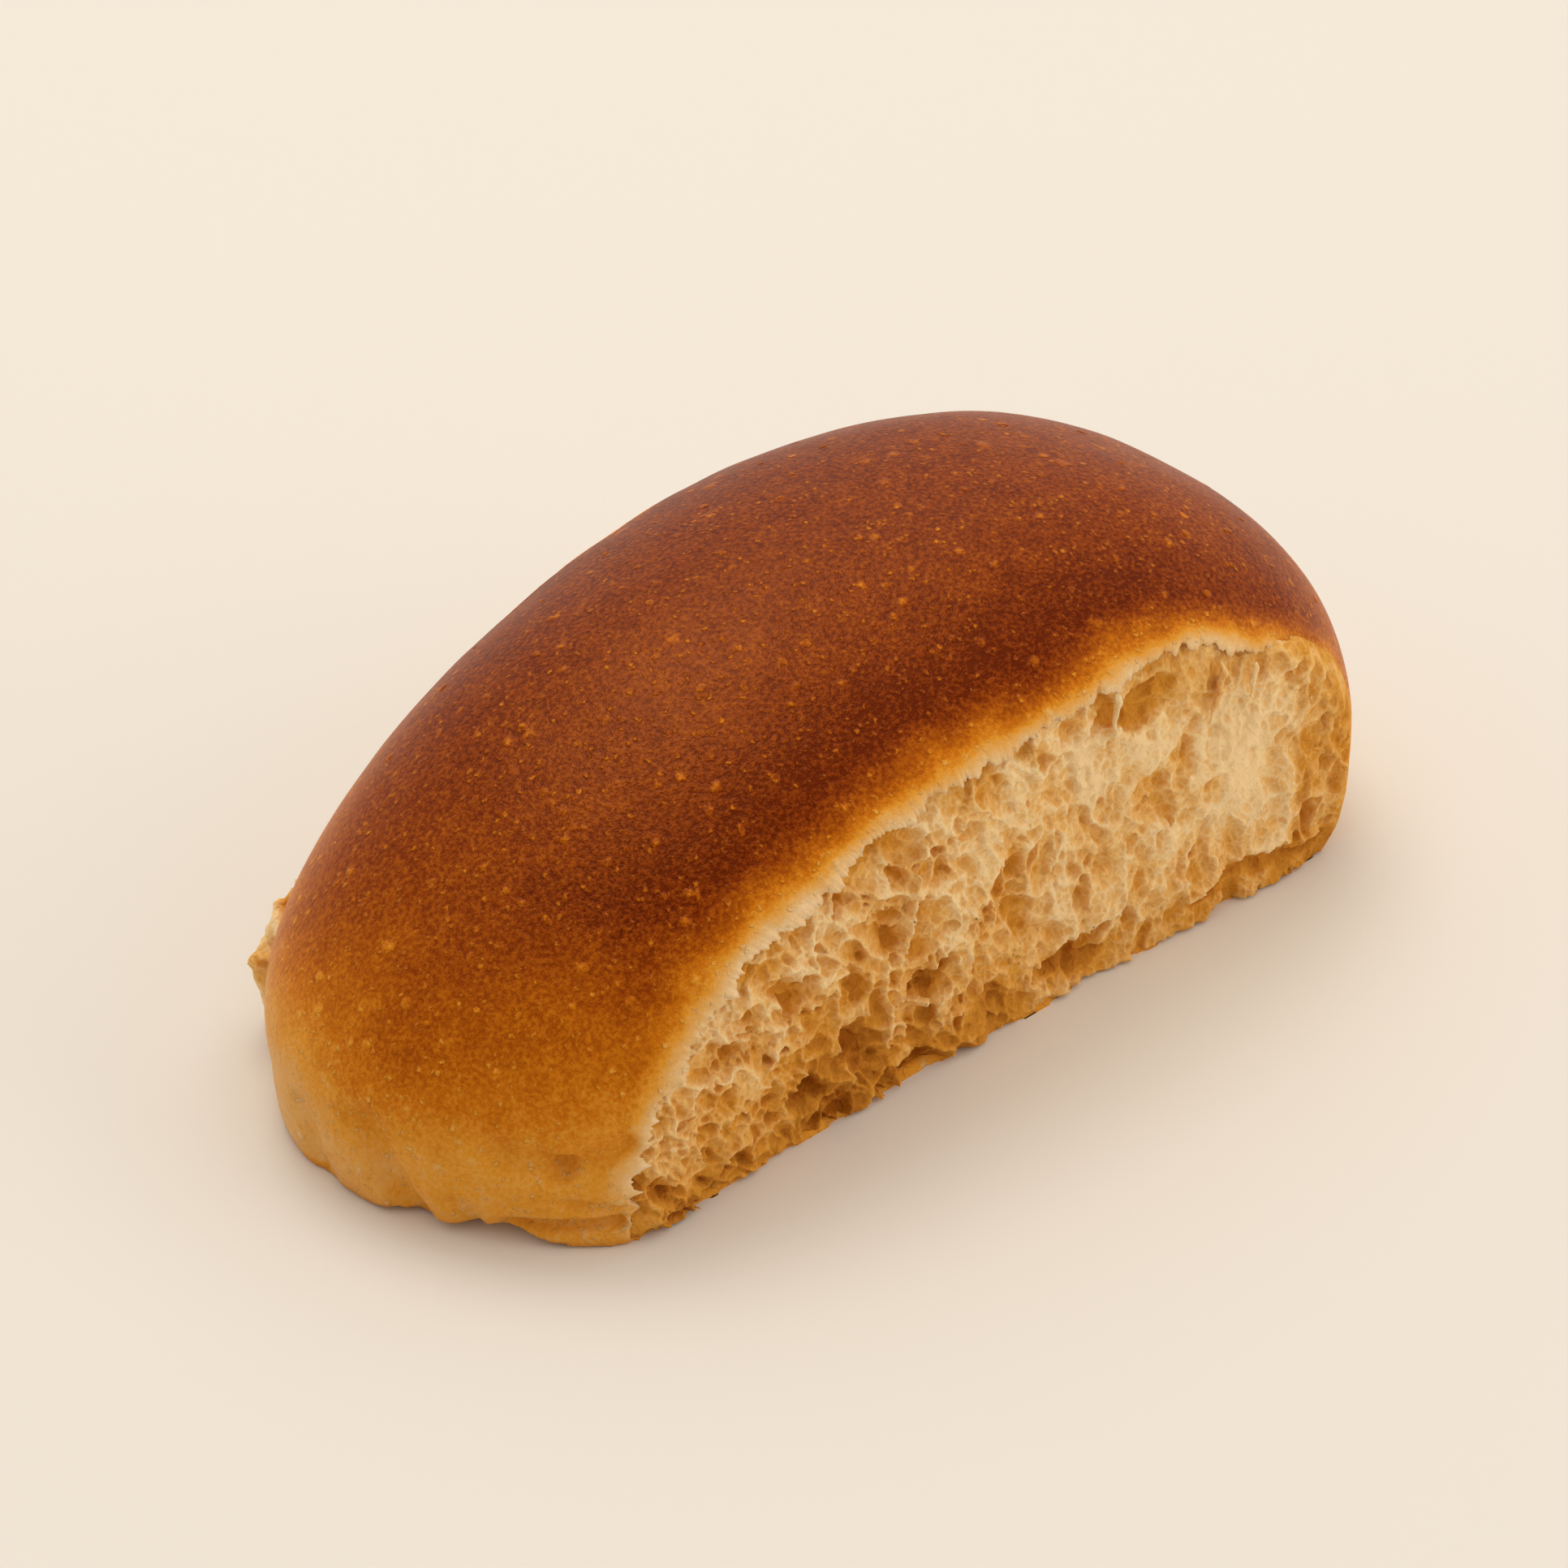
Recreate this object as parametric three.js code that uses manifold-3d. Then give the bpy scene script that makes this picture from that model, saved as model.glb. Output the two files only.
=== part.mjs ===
// A soft oval sweet roll, an unfilled maritozzo, pulled from the batch that it was baked in.
// It is one piece: a domed, browned crust over a flat base, with a torn face of open crumb along each
// long side, where its neighbours came away.
// Millimetres, +Z up. The roll lies along X, its front tear faces -Y, and it rests on Z = 0 with its
// origin under the middle of its outline.
import * as THREE from "three";
import { ImprovedNoise } from "three/addons/math/ImprovedNoise.js";
import { ParametricGeometry } from "three/addons/geometries/ParametricGeometry.js";
import { mergeVertices } from "three/addons/utils/BufferGeometryUtils.js";
import Module from "manifold-3d";

// Driving dimensions of the roll as it was baked, before its sides were torn.
const HALF_LENGTH = 57.5;
const HALF_WIDTH = 34.7;
const HEIGHT = 42.6;
const BELLY_HEIGHT = 10; // where the sides are widest
const CONTACT_REACH = 0.84; // the part of the outline that lies flat on the table

// How the form changes with direction: the near end is -X, the far end +X, the front -Y, the back +Y.
// Fullness is the power of the curve: 2 gives an ellipse, and more is boxier.
const PLAN_FULLNESS = { near: 2.21, far: 2.31, front: 2.68, back: 1.84 };
const DOME_FULLNESS = { near: 1.71, far: 2.21, front: 1.83, back: 2.09 };
const FOOT_REACH = { near: 0.98, far: 0.94, front: 0.96, back: 0.96 }; // foot of the crust under the belly
const FAR_WIDENING = 0.06; // the far end is this much wider than the middle
const FAR_RISE = 0.04; // and this much higher

// The foot of the near end: lifted folds of crust over a thin flap of base crust. Angles in degrees.
const FOLDS = [
  { angle: 194, halfAngle: 7, lift: 1.4 },
  { angle: 199.5, halfAngle: 3.5, lift: 2.4 },
];
const CREASES = [
  { angle: 204, halfAngle: 6, height: 2.6, halfHeight: 1.5, depth: 1.5 },
  { angle: 203, halfAngle: 7, height: 8.4, halfHeight: 2, depth: 0.7 },
  { angle: 188, halfAngle: 2.5, height: 3, halfHeight: 4, depth: 0.8 },
  { angle: 178, halfAngle: 3, height: 3, halfHeight: 4, depth: 0.7 },
];
const CREASE_RUN_OUT = 1;

// The torn faces, and the cells of the crumb that they open.
const FRONT_TEAR = { side: -1, distance: 24.4, seed: 11 };
const BACK_TEAR = { side: 1, distance: 23.2, seed: 29 };
const CRUMB_SWELL = { depth: 1.1, width: 13 };
const CELL_RADIUS = { smallest: 1.6, largest: 3.1 };
const CELL_DEPTH = 0.55; // of a cell's radius
const CELLS = 170;
// The large cavities of the front tear: place along X, height, and half axes.
const CAVITIES = [
  { x: -25, z: 18, length: 2.6, height: 1.8, depth: 2.6 },
  { x: -22.2, z: 5.5, length: 2.6, height: 2, depth: 2.6 },
  { x: -16.4, z: 8.6, length: 2.8, height: 2, depth: 2.4 },
  { x: -7.5, z: 10.2, length: 2.4, height: 2.2, depth: 3 },
  { x: 11.2, z: 3.8, length: 4.4, height: 2.4, depth: 2.6 },
  { x: 18.5, z: 27.6, length: 4.4, height: 3, depth: 3 },
  { x: -15.4, z: 28.2, length: 3.8, height: 2.4, depth: 1.8 },
  { x: 34.5, z: 3.4, length: 8, height: 2.2, depth: 2.2 },
];
// A scrap of the neighbour's crumb left on the back tear, by the near end.
const SCRAP = { x: -43.2, y: 19.4, z: 7.6, length: 5.6, width: 5, height: 6.6 };
const SCRAP_LUMPS = { share: 0.3, width: 3.5 };

// Steps of the mesh.
const AROUND = 96;
const BASE_ROWS = 2;
const FOOT_ROWS = 3;
const BELLY_ROWS = 7;
const DOME_ROWS = 22;
const ROWS = BASE_ROWS + FOOT_ROWS + BELLY_ROWS + DOME_ROWS;
const NEAR_CROWDING = 0.5; // the steps round the folded near end are this much shorter
const TEAR_STEP = 1.6;
const TEAR_BLOCK = { length: 130, depth: 30, height: 60 }; // what is torn away, well past the roll
const SCRAP_SIDES = 18;
const WELD = 1e-3;

const BROWNED_CRUST = new THREE.MeshStandardMaterial({ color: 0x99521f, roughness: 0.5, metalness: 0 });

const noise = new ImprovedNoise();
const wasm = await Module();
wasm.setup();

// A value given for the four sides, blended smoothly round the roll.
function byDirection(values, angle) {
  const middle = (values.near + values.far + values.front + values.back) / 4;
  const along = (values.far - values.near) / 2;
  const across = (values.back - values.front) / 2;
  return middle + along * Math.cos(angle) + across * Math.sin(angle);
}

// A smooth hump of height 1 that falls to 0 at half its width.
function hump(offset, halfWidth) {
  const t = Math.min(Math.abs(offset / halfWidth), 1);
  return (1 - t * t) ** 2;
}

function footLift(angle) {
  const degrees = THREE.MathUtils.radToDeg(angle);
  return FOLDS.reduce((lift, fold) => lift + fold.lift * hump(degrees - fold.angle, fold.halfAngle), 0);
}

// The creases press into the side of the foot, and run out at the base.
function creaseDepth(angle, height) {
  const degrees = THREE.MathUtils.radToDeg(angle);
  const runOut = Math.min(height / CREASE_RUN_OUT, 1);
  return CREASES.reduce((depth, crease) => {
    const across = hump(degrees - crease.angle, crease.halfAngle);
    return depth + runOut * crease.depth * across * hump(height - crease.height, crease.halfHeight);
  }, 0);
}

// The roll's section at an angle, by rows from the middle of the base to the crown.
function section(angle, row) {
  const foot = byDirection(FOOT_REACH, angle);
  const lift = footLift(angle);
  if (row <= BASE_ROWS) {
    return { reach: (CONTACT_REACH * row) / BASE_ROWS, height: 0 };
  }
  if (row <= BASE_ROWS + FOOT_ROWS) {
    const t = (row - BASE_ROWS) / FOOT_ROWS;
    return { reach: THREE.MathUtils.lerp(CONTACT_REACH, foot, t), height: lift * t * t };
  }
  if (row <= BASE_ROWS + FOOT_ROWS + BELLY_ROWS) {
    const t = (row - BASE_ROWS - FOOT_ROWS) / BELLY_ROWS;
    const reach = foot + (1 - foot) * Math.sqrt(1 - (1 - t) ** 2);
    return { reach, height: THREE.MathUtils.lerp(lift, BELLY_HEIGHT, t) };
  }
  const turn = (((row - ROWS + DOME_ROWS) / DOME_ROWS) * Math.PI) / 2;
  const power = 2 / byDirection(DOME_FULLNESS, angle);
  const height = BELLY_HEIGHT + (HEIGHT - BELLY_HEIGHT) * Math.sin(turn) ** power;
  return { reach: Math.max(Math.cos(turn), 0) ** power, height };
}

// A point of the untorn roll: u runs once round it, and v from the middle of the base to the crown.
function rollSurface(u, v, target) {
  const around = u * 2 * Math.PI;
  const angle = around - NEAR_CROWDING * Math.sin(around - Math.PI);
  const { reach, height } = section(angle, v * ROWS);
  const fullness = byDirection(PLAN_FULLNESS, angle);
  const alongTerm = Math.abs(Math.cos(angle) / HALF_LENGTH) ** fullness;
  const acrossTerm = Math.abs(Math.sin(angle) / HALF_WIDTH) ** fullness;
  const outline = (alongTerm + acrossTerm) ** (-1 / fullness);
  const radius = outline * reach - creaseDepth(angle, height);
  const x = radius * Math.cos(angle);
  const y = radius * Math.sin(angle) * (1 + (FAR_WIDENING * x) / HALF_LENGTH);
  target.set(x, y, height * (1 + (FAR_RISE * x) / HALF_LENGTH));
}

// A torn face's cells, in a fixed random order.
function crumbCells(seed) {
  THREE.MathUtils.seededRandom(seed);
  return Array.from({ length: CELLS }, () => {
    const x = THREE.MathUtils.lerp(-HALF_LENGTH, HALF_LENGTH, THREE.MathUtils.seededRandom());
    const z = HEIGHT * THREE.MathUtils.seededRandom();
    const size = THREE.MathUtils.seededRandom() ** 2;
    const radius = THREE.MathUtils.lerp(CELL_RADIUS.smallest, CELL_RADIUS.largest, size);
    return { x, z, length: radius, height: radius, depth: CELL_DEPTH * radius };
  });
}

// How far the crumb lies behind the tear's plane at a place on it.
function crumbDepth(x, z, cells, seed) {
  const swell = CRUMB_SWELL.depth * noise.noise(x / CRUMB_SWELL.width, seed, z / CRUMB_SWELL.width);
  const deepest = cells.reduce((depth, cell) => {
    const t = Math.min(Math.hypot((x - cell.x) / cell.length, (z - cell.z) / cell.height), 1);
    return Math.max(depth, cell.depth * (1 - t * t));
  }, 0);
  return swell + deepest;
}

// A closed geometry as a solid that can be cut and joined.
function solidOf(geometry) {
  geometry.deleteAttribute("normal");
  geometry.deleteAttribute("uv");
  const welded = mergeVertices(geometry, WELD);
  const vertProperties = welded.attributes.position.array;
  const triVerts = new Uint32Array(welded.index.array);
  return new wasm.Manifold(new wasm.Mesh({ numProp: 3, vertProperties, triVerts }));
}

function geometryOf(solid) {
  const { vertProperties, triVerts } = solid.getMesh();
  const geometry = new THREE.BufferGeometry();
  geometry.setAttribute("position", new THREE.BufferAttribute(vertProperties, 3));
  geometry.setIndex(new THREE.BufferAttribute(triVerts, 1));
  geometry.computeVertexNormals();
  return geometry;
}

// The block that a neighbour tears away: its inner side is the uneven crumb.
function tornBlock({ side, distance, seed }, cavities) {
  const { length, depth, height } = TEAR_BLOCK;
  const columns = Math.round(length / TEAR_STEP);
  const rows = Math.round(height / TEAR_STEP);
  const block = new THREE.BoxGeometry(length, depth, height, columns, 1, rows);
  const cells = [...crumbCells(seed), ...cavities];
  const position = block.attributes.position;
  for (let i = 0; i < position.count; i += 1) {
    const x = position.getX(i);
    const z = position.getZ(i) + HEIGHT / 2;
    const inner = position.getY(i) * side < 0;
    const y = inner ? distance - crumbDepth(x, z, cells, seed) : distance + depth;
    position.setXYZ(i, x, side * y, z);
  }
  return solidOf(block);
}

function untornRoll() {
  return solidOf(new ParametricGeometry(rollSurface, AROUND, ROWS));
}

function crumbScrap() {
  const scrap = new THREE.SphereGeometry(1, SCRAP_SIDES, SCRAP_SIDES / 2);
  scrap.scale(SCRAP.length, SCRAP.width, SCRAP.height);
  const position = scrap.attributes.position;
  const point = new THREE.Vector3();
  for (let i = 0; i < position.count; i += 1) {
    point.fromBufferAttribute(position, i);
    const lump = noise.noise(...point.clone().divideScalar(SCRAP_LUMPS.width).toArray());
    point.multiplyScalar(1 + SCRAP_LUMPS.share * lump);
    position.setXYZ(i, point.x + SCRAP.x, point.y + SCRAP.y, point.z + SCRAP.z);
  }
  return solidOf(scrap);
}

function tornRoll() {
  const torn = untornRoll()
    .subtract(tornBlock(FRONT_TEAR, CAVITIES))
    .subtract(tornBlock(BACK_TEAR, []))
    .add(crumbScrap());
  const pieces = torn.decompose().sort((a, b) => b.volume() - a.volume());
  return geometryOf(pieces[0]);
}

const bun = new THREE.Mesh(tornRoll(), BROWNED_CRUST);
bun.name = "bun";

const maritozzo = new THREE.Group();
maritozzo.add(bun);

export default maritozzo;
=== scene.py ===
"""The looks of an unfilled maritozzo: a soft oval sweet roll, torn from its batch along both long sides."""
import math

import bpy
import numpy as np
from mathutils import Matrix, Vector


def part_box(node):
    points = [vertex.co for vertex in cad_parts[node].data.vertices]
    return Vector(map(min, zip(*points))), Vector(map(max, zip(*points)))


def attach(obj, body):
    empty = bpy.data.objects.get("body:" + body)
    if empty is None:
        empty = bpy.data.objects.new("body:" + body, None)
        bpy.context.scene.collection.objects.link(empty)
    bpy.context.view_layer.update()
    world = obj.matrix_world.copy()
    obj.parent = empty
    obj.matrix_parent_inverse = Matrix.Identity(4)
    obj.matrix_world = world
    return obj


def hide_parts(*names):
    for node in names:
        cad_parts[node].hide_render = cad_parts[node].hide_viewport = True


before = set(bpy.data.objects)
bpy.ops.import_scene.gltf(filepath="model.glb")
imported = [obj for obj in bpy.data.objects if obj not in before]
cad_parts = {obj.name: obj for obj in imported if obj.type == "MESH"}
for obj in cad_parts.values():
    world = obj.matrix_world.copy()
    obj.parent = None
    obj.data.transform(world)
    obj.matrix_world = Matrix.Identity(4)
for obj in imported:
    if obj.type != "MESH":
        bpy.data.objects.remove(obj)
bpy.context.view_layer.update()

MM = 0.001
COARSE = 1.0
bun_low, bun_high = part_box("bun")

# The roll as it was baked, in millimetres and degrees. The CAD model has the same form.
HALF_LENGTH = (bun_high.x - bun_low.x) / MM / 2
HALF_WIDTH = 34.7
HEIGHT = 42.6
BELLY_HEIGHT = 10.0
CONTACT_REACH = 0.84
FAR_WIDENING = 0.06
FAR_RISE = 0.04
# Fullness and foot by direction: near end -X, far end +X, front -Y, back +Y.
PLAN_FULLNESS = dict(near=2.21, far=2.31, front=2.68, back=1.84)
DOME_FULLNESS = dict(near=1.71, far=2.21, front=1.83, back=2.09)
FOOT_REACH = dict(near=0.98, far=0.94, front=0.96, back=0.96)
# The foot of the near end, by plan angle: where it is folded up off the table.
FOLDS = [
    dict(angle=193.0, half_angle=7.0, lift=0.6),
    dict(angle=198.5, half_angle=6.0, lift=1.7),
]
# Soft valleys there, each along a line from one plan angle and height to another.
CREASES = [
    dict(start=(185.0, 9.5), end=(190.0, 0.5), width=2.8, depth=1.9),
    dict(start=(198.5, 10.6), end=(204.0, 9.4), width=2.2, depth=1.4),
    dict(start=(204.0, 9.4), end=(210.0, 11.6), width=1.9, depth=1.1),
    dict(start=(199.5, 2.4), end=(209.0, 2.9), width=1.3, depth=1.7),
    dict(start=(205.0, 5.4), end=(211.0, 4.0), width=1.2, depth=0.9),
    dict(start=(194.6, 4.0), end=(195.6, 1.0), width=1.2, depth=1.2),
    dict(start=(176.0, 7.0), end=(178.5, 0.5), width=2.4, depth=1.1),
    dict(start=(167.0, 6.0), end=(166.0, 0.5), width=2.4, depth=0.9),
]
CREASE_RUN_OUT = 1.0  # height over which a valley runs out at the table
LEAST_SLOPE = 0.3  # below this the roll's field isn't evened out any more

# The torn sides.
FRONT, BACK = -1, 1
TEARS = {FRONT: 24.4, BACK: 23.8}  # their distance from the middle
SKIN = 0.95  # thickness of the crust's skin just behind its thin torn lip
SKIN_GROWTH = 0.9  # how much thicker it is a few millimetres further in
SKIN_SET_BACK = 0.3  # how far its edge stays behind the tear
SKIN_SLANT = 0.9  # how far that edge slants back for its depth
BASE_SKIN = 0.85
CORE_DEPTH = 4.6  # the crust piece is a skin as far as this behind each tear, and solid from there on
OVERLAP = 0.4  # how far the crumb reaches into the crust piece's solid part
FRONT_JOIN = 4.0  # where the front tear's two pieces of crumb meet along X
JOIN_OVERLAP = 0.15

# The thin lip of skin along each tear.
LIP_ROOT = 1.4  # how far behind the tear it begins
LIP_REACH = {FRONT: 0.6, BACK: 0.3}  # how far it stands out past the tear
LIP_TEETH = [(4.5, 0.45), (1.4, 0.36), (0.5, 0.22), (0.22, 0.12)]  # width and depth of its ragged bits
LIP_SEAT = 0.12  # how far the crust is let in under it
LIP_SEAT_EASE = 0.5
LIP_THICKNESS = (0.3, 0.06)  # at its root and at its edge
LIP_DROOP = 0.3
LIP_PROUD = 0.015  # how far it stands up off the crust
LIP_TURNS = (188, -8)  # angles that it goes through, round a line along Y at the height that follows
LIP_AXIS_HEIGHT = 8
LIP_RAY = (14, 60, 0.4)  # distances from that line at which the crust is looked for
LIP_PLACES = 1500
LIP_ROWS = 8

# The large cavities of the front tear: place along X, height, and half axes.
CAVITIES = [
    dict(x=-25.0, z=18.0, length=2.6, height=1.8, depth=2.6),
    dict(x=-22.2, z=5.5, length=2.6, height=2.0, depth=2.6),
    dict(x=-16.4, z=8.6, length=2.8, height=2.0, depth=2.4),
    dict(x=-7.5, z=10.2, length=2.4, height=2.2, depth=3.0),
    dict(x=11.2, z=3.8, length=4.4, height=2.4, depth=2.6),
    dict(x=17.2, z=28.0, length=4.8, height=2.2, depth=2.4),
    dict(x=-15.4, z=28.2, length=3.8, height=2.4, depth=1.8),
    dict(x=34.5, z=3.2, length=8.5, height=1.3, depth=1.8),
]
# The crumb's open cells, by size: how far apart at the near end and in the far half, and how deep at most.
BOWLS = [
    dict(near=2.8, far=4.6, depth=1.3),
    dict(near=1.5, far=2.4, depth=1.1),
    dict(near=0.85, far=1.2, depth=0.5),
]
CELL_SHAPE = (1.2, 1.4)  # how much narrower and longer than round a cell is
CELL_WINDOW = 3.4  # how far round a cell its neighbours are, counted in its spacing
NO_CELL = 20  # a distance that every cell is nearer than
LEAST_WALLED = 1.0  # cells closer together than this have no walls that stand up
RIDGE_WIDTH = 0.45  # of the thin walls that stand up between the cells
RIDGE_HEIGHT = 0.4
# Where the front tear is smooth and pale: place along X, height, and half axes.
CALM = dict(x=32.5, z=14.0, length=9.0, height=11.0)
# Strands of crumb that hang from the lip of the front tear, from one place along X and height to another.
STRANDS = [
    dict(start=(14.6, 31.5), end=(14.3, 26.4), width=0.5),
    dict(start=(0.8, 32.0), end=(1.1, 29.8), width=0.5),
    dict(start=(10.2, 33.0), end=(10.6, 29.5), width=0.4),
    dict(start=(22.5, 31.5), end=(22.8, 26.0), width=0.45),
    dict(start=(27.5, 30.5), end=(27.2, 23.0), width=0.5),
    dict(start=(31.5, 29.5), end=(31.8, 24.0), width=0.45),
]
STRAND_OUT = 0.9  # how far a strand stands out past the tear
# A scrap of the next roll's crumb that stayed on the back tear.
SCRAP = dict(x=-43.2, y=19.4, z=7.6, length=5.6, width=5.0, height=6.6)
SCRAP_FOOT = 0.2  # its height off the table
CRUMB_OUT = 0.6  # how far the crumb stands out past the tear, before its cells go in
CRUMB_FOOT = 0.3
CRUMB_LAP = 0.4  # how far the crumb goes up into the skin
FAR_CRUMB_DEPTH = 0.1  # how far it stays under the skin's outside at the far end, which has no lip

# How browned the crust is, from 0 to 1: by the distance from a tear's rim, counted longer or shorter along X,
# and no more than its height lets it be.
RIM_STRETCH = ([-50, -38, -25, 10, 30], [0.5, 0.7, 1.0, 1.05, 1.35])
RIM_BROWNING = ([-0.6, 0, 0.5, 1.2, 2, 3.5, 5], [0.04, 0.13, 0.27, 0.45, 0.59, 0.8, 0.98])
HEIGHT_BROWNING = ([0, 7, 12, 18, 25, 33], [0.16, 0.2, 0.32, 0.53, 0.76, 0.86])
MOST_BROWNED = 0.86
BASE_BROWNING = 0.32

# Unevenness, as layers of smooth noise: the width and the height of its waves, and its seed.
CRUST_WAVES = [(16.0, 0.22, 100), (6.0, 0.07, 101), (2.4, 0.03, 102)]
TEAR_WAVES = [(9.0, 0.8, 31)]
SKIN_EDGE_WAVES = [(1.6, 0.3, 7)]
RIM_WAVES = [(5.0, 0.6, 21), (1.6, 0.25, 22)]
BROWNING_WAVES = [(9.0, 2.5, 23)]
CRUMB_WAVES = [(3.2, 0.4, 1), (1.1, 0.2, 2), (0.6, 0.1, 7)]  # these seeds and the next count from the piece's
CELL_WARP = [(2.2, 0.5, 3), (0.8, 0.22, 13)]
# The box that the noise is drawn over: every grid lies in it.
NOISE_CORNER = (-66.0, -36.0, -8.0)
NOISE_SPAN = (132.0, 72.0, 60.0)

# Grids.
PAST_ENDS = 60  # a place along X past either end of the roll
CRUST_ALONG, CRUST_UP = (-59, 59), (-1.2, 44.8)
CRUST_STEP = 0.4 * COARSE
TEAR_STEP = 0.33 * COARSE
MIDDLE_STEP = 1.3
CRUMB_ALONG, CRUMB_UP = (-50.5, 54), (-0.8, 38.0)
FACE_ALONG, FACE_UP = (-54, 56), (-3, 42)  # the map of a torn face's cells
FACE_STEP = 0.1
FLAT_WITHIN = 0.01  # of a hidden flat side's points
FILLED = -0.02  # a field's value at a place that is filled up

# The camera stands where the photograph was taken from.
CAMERA_AZIMUTH = -42.98
CAMERA_ELEVATION = 34.2
CAMERA_DISTANCE = 447.8
CAMERA_TARGET = (-5.57, -2.80, 20.0)
FIELD_OF_VIEW = 18.0
SENSOR_WIDTH = 36


# Shapes as fields over a grid


def by_direction(values, angle):
    """A value that goes smoothly from one direction's to the next one's."""
    middle = sum(values.values()) / 4
    along = (values["far"] - values["near"]) / 2
    across = (values["back"] - values["front"]) / 2
    return middle + along * np.cos(angle) + across * np.sin(angle)


def hump(offset, half_width):
    """1 in the middle, and smoothly down to 0 at the half width."""
    t = np.minimum(np.abs(offset / half_width), 1)
    return (1 - t * t) ** 2


def smooth_step(low, high, value):
    t = np.clip((value - low) / (high - low), 0, 1)
    return t * t * (3 - 2 * t)


def from_line(u, v, start, end):
    """How far along a line each place is, from 0 to 1, and how far away from it."""
    line = np.subtract(end, start)
    share = np.clip(((u - start[0]) * line[0] + (v - start[1]) * line[1]) / (line @ line), 0, 1)
    return share, np.hypot(u - start[0] - share * line[0], v - start[1] - share * line[1])


def grid_axis(low, high, step):
    return np.arange(low, high + step, step)


def noise_on(axes, width, seed):
    """Smooth noise of that width over a grid, about -1 to 1: the same at a place whatever the grid is."""
    random = np.random.default_rng(seed)
    weights = []
    for axis, corner, span in zip(axes, NOISE_CORNER, NOISE_SPAN):
        place = (axis - corner) / width
        first = np.floor(place).astype(int)
        t = place - first
        spline = ((1 - t) ** 3, 3 * t**3 - 6 * t**2 + 4, -3 * t**3 + 3 * t**2 + 3 * t + 1, t**3)
        weight = np.zeros((len(axis), int(span / width) + 5), np.float32)
        for step, share in enumerate(spline):
            weight[np.arange(len(axis)), first + step] = share / 6
        weights.append(weight)
    lattice = random.uniform(-1, 1, [weight.shape[1] for weight in weights]).astype(np.float32)
    for weight in weights:
        lattice = np.tensordot(lattice, weight, axes=(0, 1))
    return lattice * 3


def with_waves(field, axes, layers, seed=0):
    """A field with layers of noise added to it."""
    for width, height, own_seed in layers:
        field = field + height * noise_on(axes, width, seed + own_seed)
    return field


def roll_field(axes):
    """Distance in millimetres to the crust of the untorn roll, negative inside, without its base."""
    x = axes[0][:, None]
    across = axes[1][None, :] / (1 + FAR_WIDENING * x / HALF_LENGTH)
    angle = np.arctan2(across, x)
    degrees = np.degrees(angle) % 360
    power = by_direction(PLAN_FULLNESS, angle)
    outline = np.abs(np.cos(angle) / HALF_LENGTH) ** power + np.abs(np.sin(angle) / HALF_WIDTH) ** power
    outline = outline ** (-1 / power)
    reach = (np.hypot(x, across) / outline)[:, :, None]
    foot = by_direction(FOOT_REACH, angle)[:, :, None]
    lift = sum(fold["lift"] * hump(degrees - fold["angle"], fold["half_angle"]) for fold in FOLDS)
    lift = lift[:, :, None]
    height = (axes[2][None, :] / (1 + FAR_RISE * x / HALF_LENGTH))[:, None, :]

    dome_power = by_direction(DOME_FULLNESS, angle)[:, :, None]
    rise = np.clip((height - BELLY_HEIGHT) / (HEIGHT - BELLY_HEIGHT), 0, None)
    dome = (reach**dome_power + rise**dome_power) ** (1 / dome_power) - 1
    climb = np.clip((height - lift) / (BELLY_HEIGHT - lift), 0, 1)
    side = foot + (1 - foot) * np.sqrt(1 - (1 - climb) ** 2)
    under = np.sqrt(np.clip(height / np.maximum(lift, 1e-3), 0, 1))
    side = np.where(height < lift, CONTACT_REACH + (foot - CONTACT_REACH) * under, side)
    field = np.where(height >= BELLY_HEIGHT, dome, reach - side) * outline[:, :, None]

    run_out = np.clip(height / CREASE_RUN_OUT, 0, 1)
    around = np.radians(degrees)[:, :, None] * HALF_LENGTH
    for crease in CREASES:
        ends = [(math.radians(turn) * HALF_LENGTH, up) for turn, up in (crease["start"], crease["end"])]
        away = from_line(around, height, *ends)[1]
        field = field + run_out * crease["depth"] * hump(away, crease["width"])

    slope = np.sqrt(sum(part**2 for part in np.gradient(field, *axes)))
    field = field / np.maximum(slope, LEAST_SLOPE)
    return with_waves(field, axes, CRUST_WAVES).astype(np.float32)


def tear_distance(axes):
    """Distance past the front and the back tear's plane, positive on the side that was torn away."""
    y = axes[1][None, :, None]
    return {FRONT: -y - TEARS[FRONT], BACK: y - TEARS[BACK]}


def tear_wave(axes):
    """The broad unevenness that a tear's crumb and its crust share."""
    return with_waves(0, axes, TEAR_WAVES)


def crust_fields(axes):
    """What the crust and its lips share: the untorn roll, and the unevenness of tears and browning."""
    return dict(
        roll=roll_field(axes),
        wave=tear_wave(axes),
        rim=with_waves(0, axes, RIM_WAVES),
        height=with_waves(0, axes, BROWNING_WAVES),
    )


def crust_field(axes, shared):
    """The browned skin, let in where the lips lie on it, and the solid middle that it covers."""
    up = axes[2][None, None, :]
    past = np.maximum(*tear_distance(axes).values())
    edge = past + shared["wave"]
    side = shared["roll"] + LIP_SEAT * smooth_step(-LIP_ROOT, LIP_SEAT_EASE - LIP_ROOT, edge)
    roll = np.maximum(side, -up)
    torn = edge + SKIN_SET_BACK + SKIN_SLANT * np.clip(-roll, 0, 1.5)
    torn = with_waves(torn, axes, SKIN_EDGE_WAVES)
    thickness = SKIN + SKIN_GROWTH * smooth_step(0.3, 3.5, -past)
    skin = np.minimum(np.minimum(-side - thickness, up - BASE_SKIN), past + CORE_DEPTH)
    return np.maximum(np.maximum(roll, torn), skin)


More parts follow.
